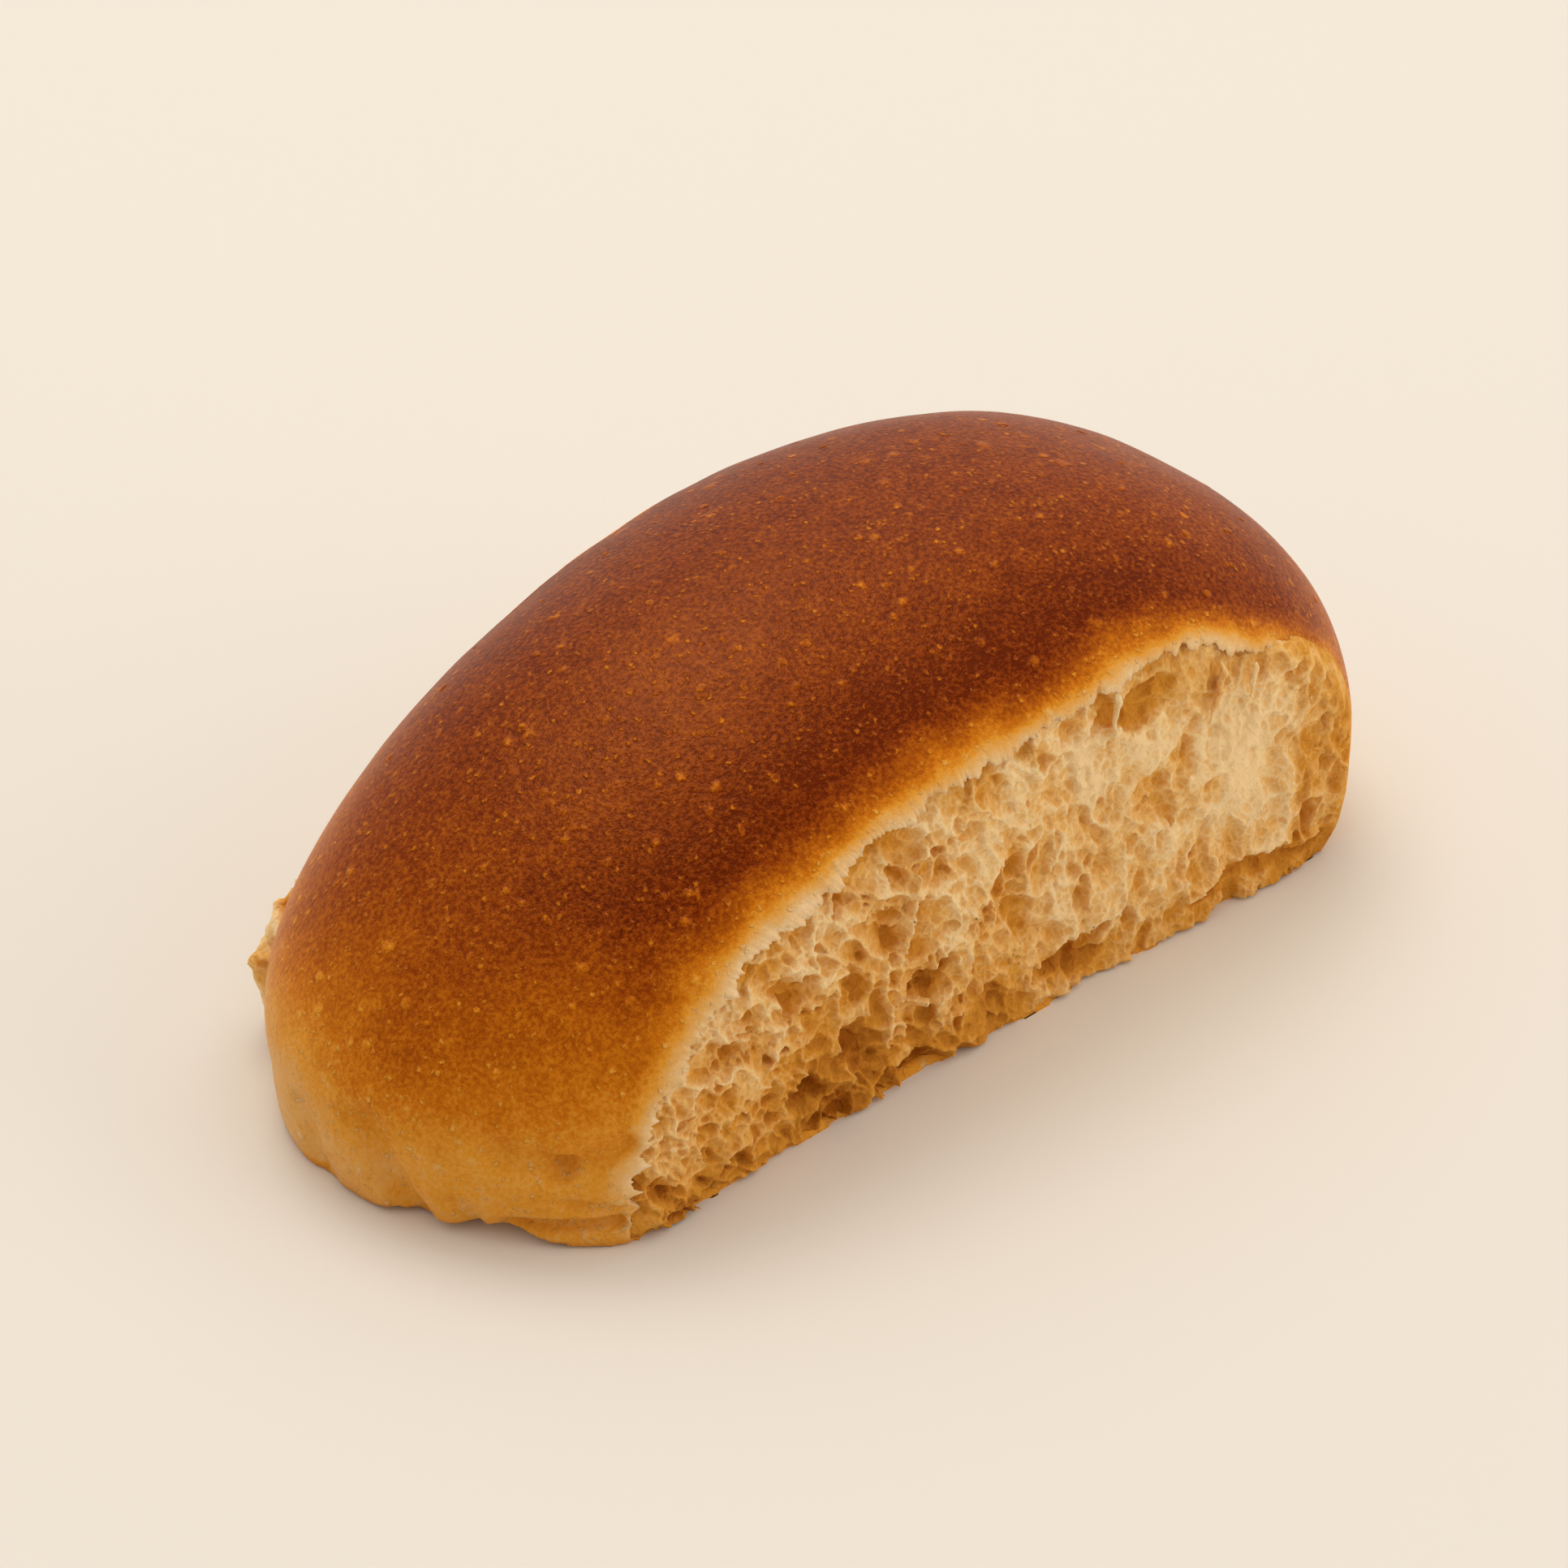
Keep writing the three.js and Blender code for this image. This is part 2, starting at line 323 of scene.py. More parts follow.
def calm_at(x, z):
    """How calm the front tear is at a place, from 0 to 1."""
    return hump(np.hypot((x - CALM["x"]) / CALM["length"], (z - CALM["z"]) / CALM["height"]), 1.0)


def window_round(axes, centre, reach):
    """The part of a grid within a reach of a place."""
    window = []
    for axis, middle in zip(axes, centre):
        step = axis[1] - axis[0]
        first = int(math.floor((middle - reach - axis[0]) / step))
        last = int(math.ceil((middle + reach - axis[0]) / step)) + 1
        window.append(slice(min(max(first, 0), len(axis)), min(max(last, 0), len(axis))))
    return tuple(window)


def draw_cells(bowl, side, along, up, random):
    """Cells of one size: rows of place, spacing, weight, slant, depth, and height of the walls.

    They are close together and slanted at the near end, and wide and upright in the far half.
    """
    count = int(np.ptp(FACE_ALONG) * np.ptp(FACE_UP) / bowl["near"] ** 2)
    x = random.uniform(along[0], along[-1], count)
    spacing = bowl["near"] + (bowl["far"] - bowl["near"]) * smooth_step(-36, 8, x)
    kept = random.random(count) < (bowl["near"] / spacing) ** 2
    x, spacing = x[kept], spacing[kept]
    z = random.uniform(up[0], up[-1], len(x))
    weight = spacing * random.uniform(0, 0.45, len(x))
    stretch = smooth_step(-8, 25, x)
    lean = random.normal(-0.75 * (1 - stretch), 0.35)
    depth = bowl["depth"] * random.uniform(0.2, 1, len(x)) * (1 - 0.25 * stretch)
    wall = random.random(len(x)) ** 2
    if side == FRONT:
        depth = depth * (1 - 0.7 * calm_at(x, z))
        wall = wall * (1 - 0.7 * calm_at(x, z))
    return np.stack([x, z, spacing, weight, lean, depth, wall], 1)


def nearest_cells(cells, along, up):
    """At each place of a face: the distance from its cell's wall, and that cell's spacing, depth and wall."""
    nearest = np.full((len(along), len(up)), NO_CELL, np.float32)
    second, wide, deep, tall = (nearest.copy() for i in range(4))
    squeeze, stretch = CELL_SHAPE
    for x, z, spacing, weight, lean, depth, wall in cells:
        window = window_round((along, up), (x, z), spacing * CELL_WINDOW)
        right = along[window[0]][:, None] - x
        high = up[window[1]][None, :] - z
        long = right * math.sin(lean) + high * math.cos(lean)
        across = right * math.cos(lean) - high * math.sin(lean)
        gap = np.hypot(across * squeeze, long / stretch).astype(np.float32) - weight
        closer = gap < nearest[window]
        second[window] = np.where(closer, nearest[window], np.minimum(second[window], gap))
        nearest[window] = np.where(closer, gap, nearest[window])
        for known, own in ((wide, spacing), (deep, depth), (tall, wall)):
            known[window] = np.where(closer, own, known[window])
    return second - nearest, wide, deep, tall


def carve_cavities(total, along, up):
    """Adds the large cavities of the front tear, each with an irregular edge, to the depth of the cells."""
    for cavity in CAVITIES:
        across = (along[:, None] - cavity["x"]) / cavity["length"]
        high = (up[None, :] - cavity["z"]) / cavity["height"]
        angle = np.arctan2(high, across)
        wobble = 1 + 0.22 * np.sin(3 * angle + cavity["x"]) + 0.14 * np.sin(5 * angle + cavity["z"])
        hollow = cavity["depth"] * np.sqrt(np.clip(1 - (across**2 + high**2) / wobble**2, 0, 1))
        total = np.maximum(total, 0.8 * hollow + 0.5 * total)
    return total


def bowl_map(side, seed):
    """Depth of the open cells over a torn face, and the places along X and Z where it is given."""
    random = np.random.default_rng(seed)
    along, up = grid_axis(*FACE_ALONG, FACE_STEP), grid_axis(*FACE_UP, FACE_STEP)
    total = np.zeros((len(along), len(up)), np.float32)
    for bowl in BOWLS:
        inward, wide, deep, tall = nearest_cells(draw_cells(bowl, side, along, up, random), along, up)
        edge = np.clip(inward / (0.9 * wide), 0, 1)
        total += deep * (1 - (1 - edge) ** 2.2)
        if bowl["near"] > LEAST_WALLED:
            total -= RIDGE_HEIGHT * tall * np.clip(1 - inward / RIDGE_WIDTH, 0, 1)
    if side == FRONT:
        total = carve_cavities(total, along, up)
    return total, along, up


def sample_map(values, along, up, x, z):
    """A map's values at places along X and Z."""
    i = np.clip((x - along[0]) / (along[1] - along[0]), 0, len(along) - 1.001)
    k = np.clip((z - up[0]) / (up[1] - up[0]), 0, len(up) - 1.001)
    i0, k0 = i.astype(int), k.astype(int)
    ti, tk = i - i0, k - k0
    low = values[i0, k0] * (1 - ti) + values[i0 + 1, k0] * ti
    high = values[i0, k0 + 1] * (1 - ti) + values[i0 + 1, k0 + 1] * ti
    return low * (1 - tk) + high * tk


def scrap_field(axes, warp, cell):
    """The scrap on the back tear: a lump with the face's own cells in it."""
    x = (axes[0][:, None, None] - SCRAP["x"] + 2 * warp[0]) / SCRAP["length"]
    y = (axes[1][None, :, None] - SCRAP["y"] + 2 * warp[1]) / SCRAP["width"]
    z = (axes[2][None, None, :] - SCRAP["z"] + 2 * warp[2]) / SCRAP["height"]
    lump = (np.sqrt(x * x + y * y + z * z) - 1) * SCRAP["width"]
    return np.maximum(lump + 0.5 * cell, SCRAP_FOOT - axes[2][None, None, :])


def crumb_field(axes, side, reach, seed):
    """A torn face of open crumb and some way behind it, the depth in a cell, and the untorn roll."""
    roll = roll_field(axes)
    past = tear_distance(axes)[side]
    uneven = with_waves(tear_wave(axes), axes, CRUMB_WAVES, seed)
    warp = [with_waves(0, axes, CELL_WARP, seed + i) for i in range(3)]
    x = axes[0][:, None, None] + warp[0]
    z = axes[2][None, None, :] + warp[2]
    cell = sample_map(*bowl_map(side, seed), x, z).astype(np.float32)
    far = smooth_step(28, 40, x)
    # Under the skin the face stands back a little, so that the lip overhangs it.
    set_back = smooth_step(-2.4, -0.6, roll) * (1.0 - 1.5 * far) * smooth_step(3, 10, z)
    face = past - CRUMB_OUT + uneven + cell + set_back
    if side == FRONT:
        for strand in STRANDS:
            share, away = from_line(x, z, strand["start"], strand["end"])
            away = np.hypot(away, past - STRAND_OUT + uneven) - strand["width"] * (1 - 0.5 * share)
            cell = np.where(away < face, 0, cell)
            face = np.minimum(face, away)
    under_skin = (SKIN - CRUMB_LAP) * (1 - far) + FAR_CRUMB_DEPTH * far
    body = np.maximum(np.maximum(roll + under_skin, CRUMB_FOOT - axes[2][None, None, :]), face)
    if side == BACK:
        body = np.minimum(body, scrap_field(axes, warp, cell))
    body = np.maximum(body, np.maximum(reach[0] - axes[0], axes[0] - reach[1])[:, None, None])
    return np.maximum(body, -past - CORE_DEPTH - OVERLAP), cell, roll


# Fields to meshes


def settle(field):
    """Fills the places where a surface would touch itself along an edge."""
    clashes = 1
    while clashes:
        clashes = 0
        for axis in range(3):
            layers = np.moveaxis(field, axis, 2)
            inside = layers < 0
            one, other = inside[:-1, :-1] & inside[1:, 1:], inside[1:, :-1] & inside[:-1, 1:]
            no_one = ~(inside[:-1, :-1] | inside[1:, 1:])
            no_other = ~(inside[1:, :-1] | inside[:-1, 1:])
            for crossed, corner in ((one & no_other, layers[1:, :-1]), (other & no_one, layers[:-1, :-1])):
                corner[crossed] = FILLED
                clashes += np.count_nonzero(crossed)
    return field


def surface_net(field, axes):
    """The surface where a field is zero: points, quads, and the points' places counted in grid steps."""
    field = settle(field)
    inside = field < 0
    count = np.zeros(tuple(n - 1 for n in field.shape), np.int8)
    corners = [(i, j, k) for i in (0, 1) for j in (0, 1) for k in (0, 1)]
    for i, j, k in corners:
        nx, ny, nz = count.shape
        count += inside[i : nx + i, j : ny + j, k : nz + k]
    mixed = np.argwhere((count > 0) & (count < 8))
    number = np.full(count.shape, -1, np.int32)
    number[tuple(mixed.T)] = np.arange(len(mixed))
    total = np.zeros((len(mixed), 3), np.float32)
    crossings = np.zeros(len(mixed), np.float32)
    for corner in corners:
        for axis in range(3):
            if corner[axis]:
                continue
            other = list(corner)
            other[axis] = 1
            near = field[tuple((mixed + corner).T)]
            far = field[tuple((mixed + other).T)]
            crosses = (near < 0) != (far < 0)
            share = np.where(crosses, near / np.where(crosses, near - far, 1), 0)
            place = np.array(corner, np.float32)[None, :].repeat(len(mixed), 0)
            place[:, axis] = share
            total += place * crosses[:, None]
            crossings += crosses
    steps = mixed + total / crossings[:, None]
    quads = []
    for axis in range(3):
        a, b = (axis + 1) % 3, (axis + 2) % 3
        low = np.moveaxis(inside, (axis, a, b), (0, 1, 2))
        cells = np.moveaxis(number, (axis, a, b), (0, 1, 2))
        for first in (True, False):
            here = (low[:-1] == first) & (low[1:] != first)
            i, j, k = np.argwhere(here[:, 1:-1, 1:-1]).T
            around = [cells[i, j, k], cells[i, j + 1, k], cells[i, j + 1, k + 1], cells[i, j, k + 1]]
            quad = np.stack(around, 1)
            quads.append(quad if first else quad[:, ::-1])
    points = np.stack([np.interp(steps[:, i], np.arange(len(axes[i])), axes[i]) for i in range(3)], 1)
    return points, np.concatenate(quads), steps


def steps_of(points, axes):
    """Places in millimetres counted in grid steps."""
    return np.stack([np.interp(points[:, i], axes[i], np.arange(len(axes[i]))) for i in range(3)], 1)


def sample(field, steps):
    """A field's values at places counted in grid steps."""
    first = np.minimum(np.floor(steps).astype(int), np.array(field.shape) - 2)
    t = steps - first
    value = 0
    for i in (0, 1):
        for j in (0, 1):
            for k in (0, 1):
                share = np.where(i, t[:, 0], 1 - t[:, 0]) * np.where(j, t[:, 1], 1 - t[:, 1])
                share = share * np.where(k, t[:, 2], 1 - t[:, 2])
                value = value + share * field[first[:, 0] + i, first[:, 1] + j, first[:, 2] + k]
    return value


def largest_part(points, quads, steps):
    """Drops scraps that hang free of the main body."""
    edges = np.concatenate([quads[:, [0, 1]], quads[:, [1, 2]], quads[:, [2, 3]]])
    leader = np.arange(len(points))
    while True:
        ends = leader[edges]
        if (ends[:, 0] == ends[:, 1]).all():
            break
        np.minimum.at(leader, ends.max(1), ends.min(1))
        while (leader[leader] != leader).any():
            leader = leader[leader]
    main = np.bincount(leader).argmax()
    keep = leader == main
    number = np.cumsum(keep) - 1
    return points[keep], number[quads[keep[quads[:, 0]]]], steps[keep]


def cap_flat(points, quads, steps, planes):
    """Puts one face in place of the many of each hidden flat side, at these places along Y."""
    flat = np.zeros(len(quads), bool)
    for plane in planes:
        flat |= (np.abs(points[quads][:, :, 1] - plane) < FLAT_WITHIN).all(1)
    sides = np.concatenate([quads[flat][:, [i, (i + 1) % 4]] for i in range(4)])
    known = set(map(tuple, sides.tolist()))
    following = {}
    for start, end in known:
        if (end, start) not in known:
            following.setdefault(start, []).append(end)
    caps = []
    for start in following:
        loop = [start]
        while following[loop[-1]]:
            end = following[loop[-1]].pop()
            if end in loop:
                first = loop.index(end)
                caps.append(loop[first:])
                del loop[first + 1 :]
            else:
                loop.append(end)
    faces = quads[~flat].tolist() + caps
    used = np.zeros(len(points), bool)
    used[quads[~flat].ravel()] = True
    number = np.cumsum(used) - 1
    return points[used], [[int(number[corner]) for corner in face] for face in faces], steps[used]


def show(thing):
    """Puts an object in the scene."""
    bpy.context.scene.collection.objects.link(thing)
    return thing


def piece_from(name, points, faces, material, **attributes):
    """A smooth mesh object in metres, with its own named values at each point."""
    mesh = bpy.data.meshes.new(name)
    mesh.from_pydata((points * MM).tolist(), [], faces)
    for key, values in attributes.items():
        mesh.attributes.new(key, "FLOAT", "POINT").data.foreach_set("value", values.astype(np.float32))
    mesh.shade_smooth()
    mesh.materials.append(material)
    return show(bpy.data.objects.new(name, mesh))


# Materials

ADD = dict(operation="ADD")
SUBTRACT = dict(operation="SUBTRACT")
MULTIPLY = dict(operation="MULTIPLY")
MULTIPLY_ADD = dict(operation="MULTIPLY_ADD")
DIVIDE = dict(operation="DIVIDE")
MAXIMUM = dict(operation="MAXIMUM")

# From pale skin at a tear through golden to the darkest brown of the crown.
CRUST_COLOURS = [
    (0.0, "#EDCFA4"),
    (0.07, "#E4BD85"),
    (0.14, "#E2AF68"),
    (0.3, "#DE9832"),
    (0.46, "#C87414"),
    (0.62, "#A8560B"),
    (0.8, "#873907"),
    (1.0, "#5F1D02"),
]
# From the crumb's outermost edges to the depth of its cells: painted shade, darker and more orange deeper in,
# like light scattered in the crumb.
CRUMB_TONE_AND_SHADE_COLOURS = [(0.0, "#F3D5A2"), (0.2, "#EABB74"), (0.5, "#D79533"), (1.0, "#A15B09")]
FULL_SHADE_DEPTH = 3.0  # depth in a cell, in millimetres, that has the last of these
# The crust's specks, by size: how far apart, what part of the places is empty, and the largest one's reach.
SPECKS = [
    dict(spacing=0.7, empty=0.3, reach=0.5),
    dict(spacing=1.7, empty=0.42, reach=0.43),
    dict(spacing=4.2, empty=0.5, reach=0.28),
]


def colour(hex_value):
    """An sRGB hex value as a linear colour."""
    channels = [int(hex_value[i : i + 2], 16) / 255 for i in (1, 3, 5)]
    return (*(c / 12.92 if c <= 0.04045 else ((c + 0.055) / 1.055) ** 2.4 for c in channels), 1)


def add(tree, kind, settings=None, **inputs):
    """Adds a node, with its settings, and its inputs as values or as links from other nodes' sockets."""
    node = tree.nodes.new(kind)
    for key, value in (settings or {}).items():
        setattr(node, key, value)
    for key, value in inputs.items():
        socket = node.inputs[int(key[1:]) if key[1:].isdigit() else key.replace("_", " ")]
        if isinstance(value, bpy.types.NodeSocket):
            tree.links.new(value, socket)
        else:
            socket.default_value = value
    return node


def set_ramp(node, stops):
    ramp = node.color_ramp
    while len(ramp.elements) < len(stops):
        ramp.elements.new(0.5)
    for element, (place, hex_value) in zip(ramp.elements, stops):
        element.position = place
        element.color = colour(hex_value)


def new_material(name):
    material = bpy.data.materials.new(name)
    material.use_nodes = True
    material.node_tree.nodes.clear()
    return material, material.node_tree


def browned_crust():
    """Egg-washed crust, browned in the oven: a soft sheen over fine, paler specks and a faint grain."""
    material, tree = new_material("browned_crust")
    coords = add(tree, "ShaderNodeTexCoord").outputs["Object"]
    browning = add(tree, "ShaderNodeAttribute", dict(attribute_name="browning")).outputs["Fac"]
    # Mottling a few millimetres wide.
    mottle = add(tree, "ShaderNodeTexNoise", Vector=coords, Scale=1 / (3 * MM), Detail=5.0, Roughness=0.65)
    shift = add(tree, "ShaderNodeMath", MULTIPLY_ADD, _0=mottle.outputs["Fac"], _1=0.3, _2=-0.15)
    brown = add(tree, "ShaderNodeMath", ADD, _0=browning, _1=shift.outputs[0])
    # Specks of several sizes with uneven edges.
    jitter = add(tree, "ShaderNodeTexNoise", Vector=coords, Scale=1 / (0.5 * MM), Detail=2.0)
    moved = add(tree, "ShaderNodeVectorMath", MULTIPLY_ADD, _0=jitter.outputs["Color"], _2=coords)
    moved.inputs[1].default_value = (0.7 * MM, 0.7 * MM, 0.7 * MM)
    specks = 0.0
    for layer in SPECKS:
        cells = add(tree, "ShaderNodeTexVoronoi", Vector=moved.outputs[0], Scale=1 / (layer["spacing"] * MM))
        drawn = add(tree, "ShaderNodeSeparateColor", Color=cells.outputs["Color"]).outputs["Red"]
        size = add(tree, "ShaderNodeMapRange", Value=drawn, From_Min=layer["empty"], To_Max=layer["reach"])
        inside = add(tree, "ShaderNodeMath", SUBTRACT, _0=size.outputs[0], _1=cells.outputs["Distance"])
        speck = add(tree, "ShaderNodeMapRange", Value=inside.outputs[0], From_Max=0.25)
        specks = add(tree, "ShaderNodeMath", MAXIMUM, _0=speck.outputs[0], _1=specks).outputs[0]
    # A grain of about half a millimetre.
    fine = add(tree, "ShaderNodeTexNoise", Vector=coords, Scale=1 / (0.45 * MM), Detail=2.0, Roughness=0.7)
    grit = add(tree, "ShaderNodeMapRange", Value=fine.outputs["Fac"], From_Min=0.36, From_Max=0.64)
    grit.inputs["To Min"].default_value = -0.5
    grit.inputs["To Max"].default_value = 0.5
    light = add(tree, "ShaderNodeMath", MULTIPLY_ADD, _0=specks, _1=1.15, _2=grit.outputs[0])
    amount = add(tree, "ShaderNodeMath", MULTIPLY, _0=light.outputs[0], _1=browning)
    paler = add(tree, "ShaderNodeMath", MULTIPLY_ADD, _0=amount.outputs[0], _1=-0.29, _2=brown.outputs[0])
    ramp = add(tree, "ShaderNodeValToRGB", Fac=paler.outputs[0])
    set_ramp(ramp, CRUST_COLOURS)
    relief = add(tree, "ShaderNodeMath", ADD, _0=fine.outputs["Fac"], _1=specks)
    bump = add(tree, "ShaderNodeBump", Height=relief.outputs[0], Strength=0.9, Distance=0.14 * MM)
    shader = add(tree, "ShaderNodeBsdfPrincipled", Base_Color=ramp.outputs["Color"], Normal=bump.outputs[0])
    shader.inputs["Roughness"].default_value = 0.36
    shader.inputs["Specular IOR Level"].default_value = 0.07
    shader.inputs["Specular Tint"].default_value = colour("#FFB878")
    add(tree, "ShaderNodeOutputMaterial", Surface=shader.outputs[0])
    return material


def torn_crumb():
    """Soft, pale crumb of an enriched dough: matte, and light goes a little way into it."""
    material, tree = new_material("torn_crumb")
    coords = add(tree, "ShaderNodeTexCoord").outputs["Object"]
    recess = add(tree, "ShaderNodeAttribute", dict(attribute_name="recess")).outputs["Fac"]
    # Paler and yellower patches.
    mottle = add(tree, "ShaderNodeTexNoise", Vector=coords, Scale=1 / (7 * MM), Detail=3.0)
    shift = add(tree, "ShaderNodeMath", MULTIPLY_ADD, _0=mottle.outputs["Fac"], _1=2.6, _2=-1.3)
    deep = add(tree, "ShaderNodeMath", ADD, _0=recess, _1=shift.outputs[0])
    # Pits of about a millimetre, most of them on the outermost crumb: a dip in the bump, with painted shade
    # in their middles.
    jitter = add(tree, "ShaderNodeTexNoise", Vector=coords, Scale=1 / (1.1 * MM), Detail=2.0)
    moved = add(tree, "ShaderNodeVectorMath", MULTIPLY_ADD, _0=jitter.outputs["Color"], _2=coords)
    moved.inputs[1].default_value = (0.9 * MM, 0.9 * MM, 0.9 * MM)
    edges = dict(feature="DISTANCE_TO_EDGE")
    cells = add(tree, "ShaderNodeTexVoronoi", edges, Vector=moved.outputs[0], Scale=1 / (1.0 * MM))
    pits = add(tree, "ShaderNodeMapRange", Value=cells.outputs["Distance"], From_Min=0.0, From_Max=0.25)
    amount = add(tree, "ShaderNodeMapRange", Value=recess, From_Min=2.0, From_Max=0.8, To_Min=0.1)
    amount.inputs["To Max"].default_value = 0.45
    pitted = add(tree, "ShaderNodeMath", MULTIPLY_ADD, _0=pits.outputs[0], _2=deep.outputs[0])
    tree.links.new(amount.outputs[0], pitted.inputs[1])
    # Fine flecks.
    fine = add(tree, "ShaderNodeTexNoise", Vector=coords, Scale=1 / (0.35 * MM), Detail=4.0)
    flecks = add(tree, "ShaderNodeMath", SUBTRACT, _0=fine.outputs["Fac"], _1=0.5)
    flecked = add(tree, "ShaderNodeMath", ADD, _0=pitted.outputs[0], _1=flecks.outputs[0])
    # Painted shade: the colour goes darker along the ramp with the depth in a cell.
    share = add(tree, "ShaderNodeMath", DIVIDE, _0=flecked.outputs[0], _1=FULL_SHADE_DEPTH)
    ramp = add(tree, "ShaderNodeValToRGB", Fac=share.outputs[0])
    set_ramp(ramp, CRUMB_TONE_AND_SHADE_COLOURS)
    relief = add(tree, "ShaderNodeMath", MULTIPLY_ADD, _0=pits.outputs[0], _1=-0.8, _2=fine.outputs["Fac"])
    bump = add(tree, "ShaderNodeBump", Height=relief.outputs[0], Strength=0.6, Distance=0.2 * MM)
    shader = add(tree, "ShaderNodeBsdfPrincipled", Base_Color=ramp.outputs["Color"], Normal=bump.outputs[0])
    shader.inputs["Roughness"].default_value = 0.85
    shader.inputs["Specular IOR Level"].default_value = 0.15
    shader.inputs["Subsurface Weight"].default_value = 0.35
    shader.inputs["Subsurface Radius"].default_value = (1.0, 0.8, 0.6)
    shader.inputs["Subsurface Scale"].default_value = 0.6 * MM
    add(tree, "ShaderNodeOutputMaterial", Surface=shader.outputs[0])
    return material


def pale_floor():
    """A plain matte sheet that reflects nothing."""
    material, tree = new_material("pale_floor")
    shader = add(tree, "ShaderNodeBsdfPrincipled", Base_Color=colour("#E7E5E1"), Roughness=0.8)
    shader.inputs["Specular IOR Level"].default_value = 0.0
    add(tree, "ShaderNodeOutputMaterial", Surface=shader.outputs[0])
    return material


# Pieces that Geometry Nodes scatter over others


def new_group(name, **inputs):
    """A Geometry Nodes group with a geometry input, the named inputs, and a geometry output."""
    group = bpy.data.node_groups.new(name, "GeometryNodeTree")
    group.interface.new_socket("Geometry", in_out="INPUT", socket_type="NodeSocketGeometry")
    for key, kind in inputs.items():
        group.interface.new_socket(key, in_out="INPUT", socket_type=kind)
    group.interface.new_socket("Geometry", in_out="OUTPUT", socket_type="NodeSocketGeometry")
    return group, group.nodes.new("NodeGroupInput").outputs


def blister_group(material):
    """Small flat domes on the browned part of a crust, a little paler than it."""
    number = "NodeSocketFloat"
    group, given = new_group("blisters", Spacing=number, Size=number, Seed="NodeSocketInt")
    named = add(group, "GeometryNodeInputNamedAttribute", dict(data_type="FLOAT"), Name="browning")
    browning = named.outputs["Attribute"]
    browned = add(group, "FunctionNodeCompare", dict(operation="GREATER_THAN"), _0=browning, _1=0.6)
    points = add(
        group,
        "GeometryNodeDistributePointsOnFaces",
        dict(distribute_method="POISSON"),
        Mesh=given["Geometry"],
        Selection=browned.outputs[0],
        Distance_Min=given["Spacing"],
        Density_Max=30000.0,
        Seed=given["Seed"],
    )
    dome = add(group, "GeometryNodeMeshIcoSphere", Radius=1.0, Subdivisions=2)
    turn = add(group, "FunctionNodeRandomValue", dict(data_type="FLOAT_VECTOR"), Seed=given["Seed"])
    turn.inputs[0].default_value = (0, 0, -3.1)
    turn.inputs[1].default_value = (0, 0, 3.1)
    local = dict(rotation_space="LOCAL")
    turned = add(group, "FunctionNodeRotateRotation", local, Rotation=points.outputs["Rotation"])
    group.links.new(turn.outputs[0], turned.inputs["Rotate By"])
    spread = add(group, "FunctionNodeRandomValue", dict(data_type="FLOAT_VECTOR"), Seed=given["Seed"])
    spread.inputs[0].default_value = (0.35, 0.3, 0.08)
    spread.inputs[1].default_value = (1.1, 0.8, 0.16)
    by_size = dict(operation="SCALE")
    scale = add(group, "ShaderNodeVectorMath", by_size, _0=spread.outputs[0], Scale=given["Size"])
    placed = add(
        group,
        "GeometryNodeInstanceOnPoints",
        Points=points.outputs["Points"],
        Instance=dome.outputs["Mesh"],
        Rotation=turned.outputs[0],
        Scale=scale.outputs[0],
    )
    realized = add(group, "GeometryNodeRealizeInstances", Geometry=placed.outputs[0])
    paler = add(group, "ShaderNodeMath", MULTIPLY, _0=browning, _1=0.8)
    stored = add(group, "GeometryNodeStoreNamedAttribute", Geometry=realized.outputs[0], Name="browning")
    group.links.new(paler.outputs[0], stored.inputs["Value"])
    smooth = add(group, "GeometryNodeSetShadeSmooth", Geometry=stored.outputs[0])
    covered = add(group, "GeometryNodeSetMaterial", Geometry=smooth.outputs[0], Material=material)
    add(group, "NodeGroupOutput", Geometry=covered.outputs[0])
    return group


def grown_on(name, base, group, **values):
    """A plain mesh of what a group scatters over a piece."""
    grown = show(bpy.data.objects.new(name, base.data.copy()))
    modifier = grown.modifiers.new(name, "NODES")
    modifier.node_group = group
    for item in group.interface.items_tree:
        if item.in_out == "INPUT" and item.name in values:
            modifier[item.identifier] = values[item.name]
    evaluated = grown.evaluated_get(bpy.context.evaluated_depsgraph_get())
    mesh = bpy.data.meshes.new_from_object(evaluated)
    grown.modifiers.clear()
    grown.data = mesh
    return grown


# Pieces


def crust_grid():
    """Places along the roll, across it and up: fine across each tear, coarse across the solid middle."""
    front, back = (grid_axis(TEARS[side] - CORE_DEPTH - 1.2, TEARS[side] + 2.6, TEAR_STEP) for side in TEARS)
    middle = grid_axis(-front[0] + 0.9, back[0] - 0.9, MIDDLE_STEP)
    across = np.concatenate([-front[::-1], middle, back[back > middle[-1] + 0.1]])
    return grid_axis(*CRUST_ALONG, CRUST_STEP), across, grid_axis(*CRUST_UP, CRUST_STEP)


